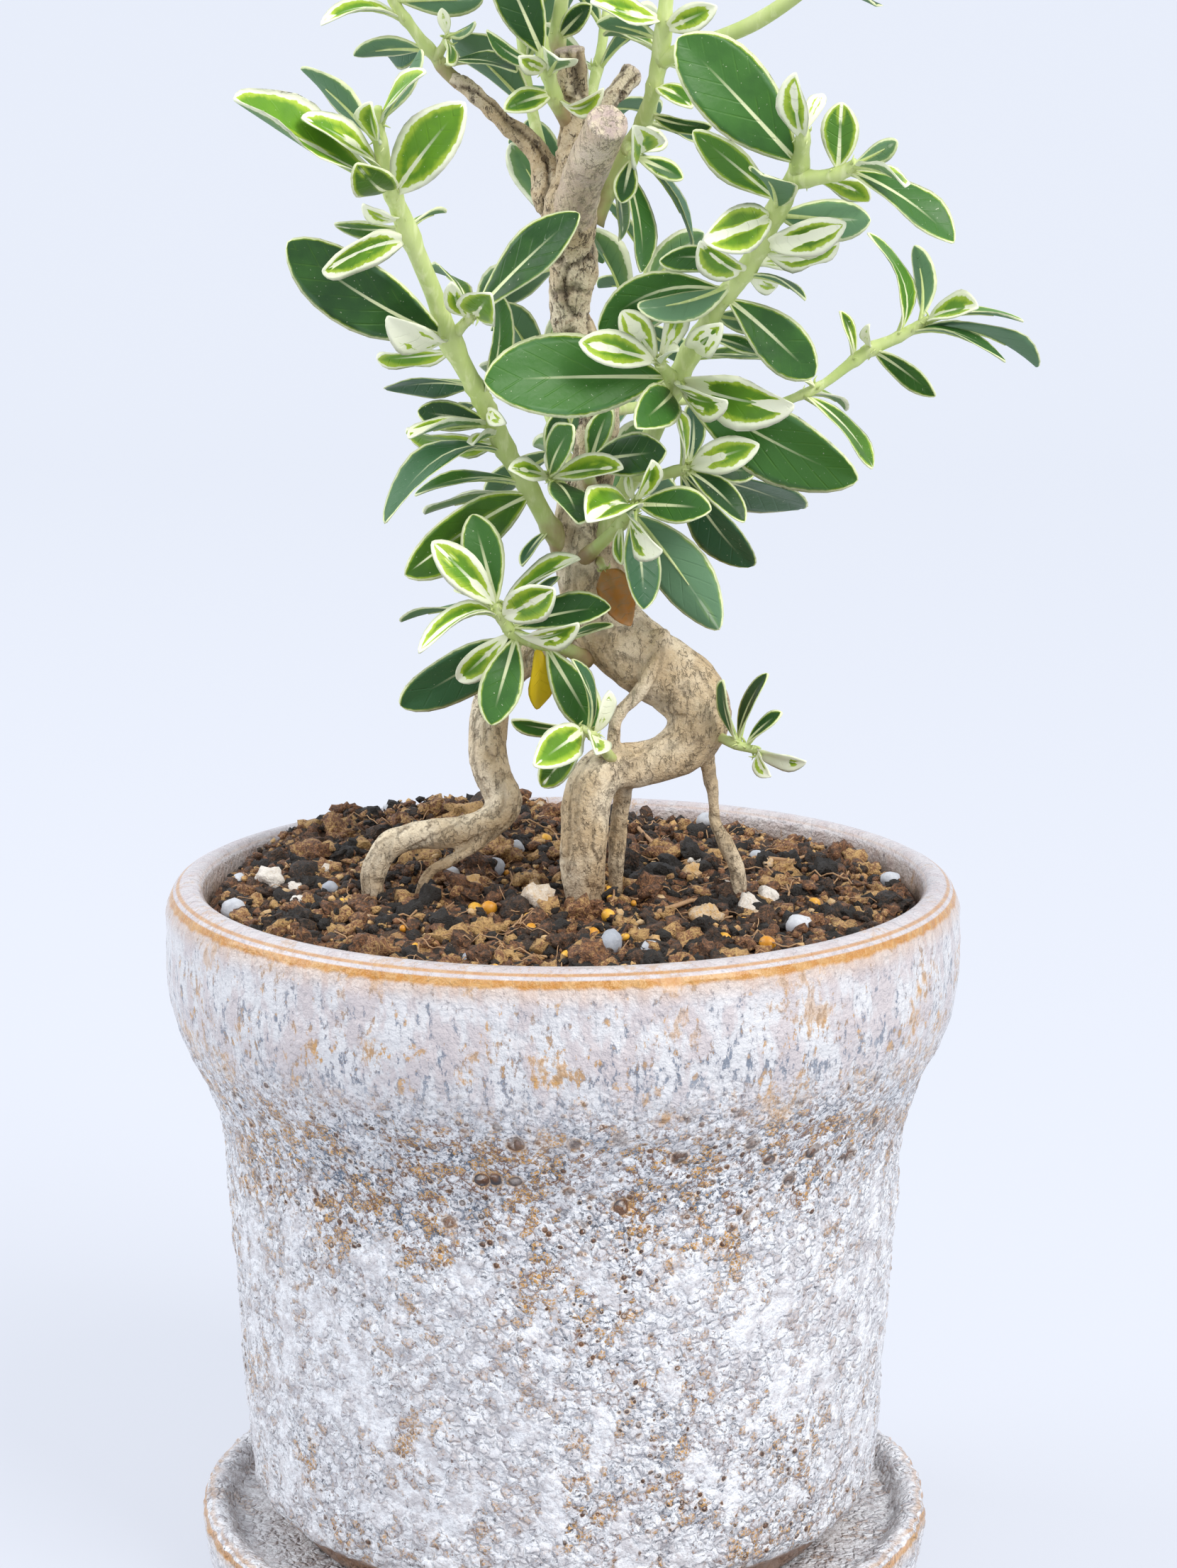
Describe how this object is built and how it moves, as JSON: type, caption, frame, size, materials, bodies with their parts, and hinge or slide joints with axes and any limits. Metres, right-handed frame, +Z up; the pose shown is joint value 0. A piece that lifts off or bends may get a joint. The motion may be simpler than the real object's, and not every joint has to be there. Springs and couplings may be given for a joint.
{
  "type": "potted serissa bonsai",
  "caption": "Serissa bonsai with variegated leafy sprays on a bent trunk over exposed roots, planted in soil in a round glazed pot that stands on a shallow glazed saucer.",
  "frame": {"origin": "centre of the saucer's flat underside, on the table", "axes": "+Z up the pot's axis, -Y towards the picture's viewer, +X to the viewer's right"},
  "size_m": [0.1124, 0.1008, 0.231],
  "materials": {
    "pot_glaze": "glossy speckled white glaze on stoneware, opaque",
    "saucer_glaze": "glossy white glaze on stoneware, opaque",
    "soil": "moist crumbly potting soil with grit",
    "bark": "fissured beige bark",
    "leaf": "satin green leaf with a cream margin",
    "withered_leaf": "dry brown leaf"
  },
  "bodies": {
    "root": {"saucer": "saucer_glaze", "pot": "pot_glaze", "soil": "soil", "trunk": "bark", "spray_left": "leaf", "spray_upper_left": "leaf", "spray_top_left": "leaf", "spray_crown": "leaf", "spray_top_right": "leaf", "spray_right": "leaf", "spray_far_right": "leaf", "spray_middle": "leaf", "spray_middle_right": "leaf", "spray_lower_right": "leaf", "spray_lower_left": "leaf", "sprout_knee": "leaf", "sprout_bend": "leaf", "spray_back_low": "leaf", "spray_back_left": "leaf", "spray_back_right": "leaf", "spray_back_middle": "leaf", "spray_back_top": "leaf", "spray_back_crown": "leaf", "dry_leaf": "withered_leaf"}
  },
  "joints": []
}
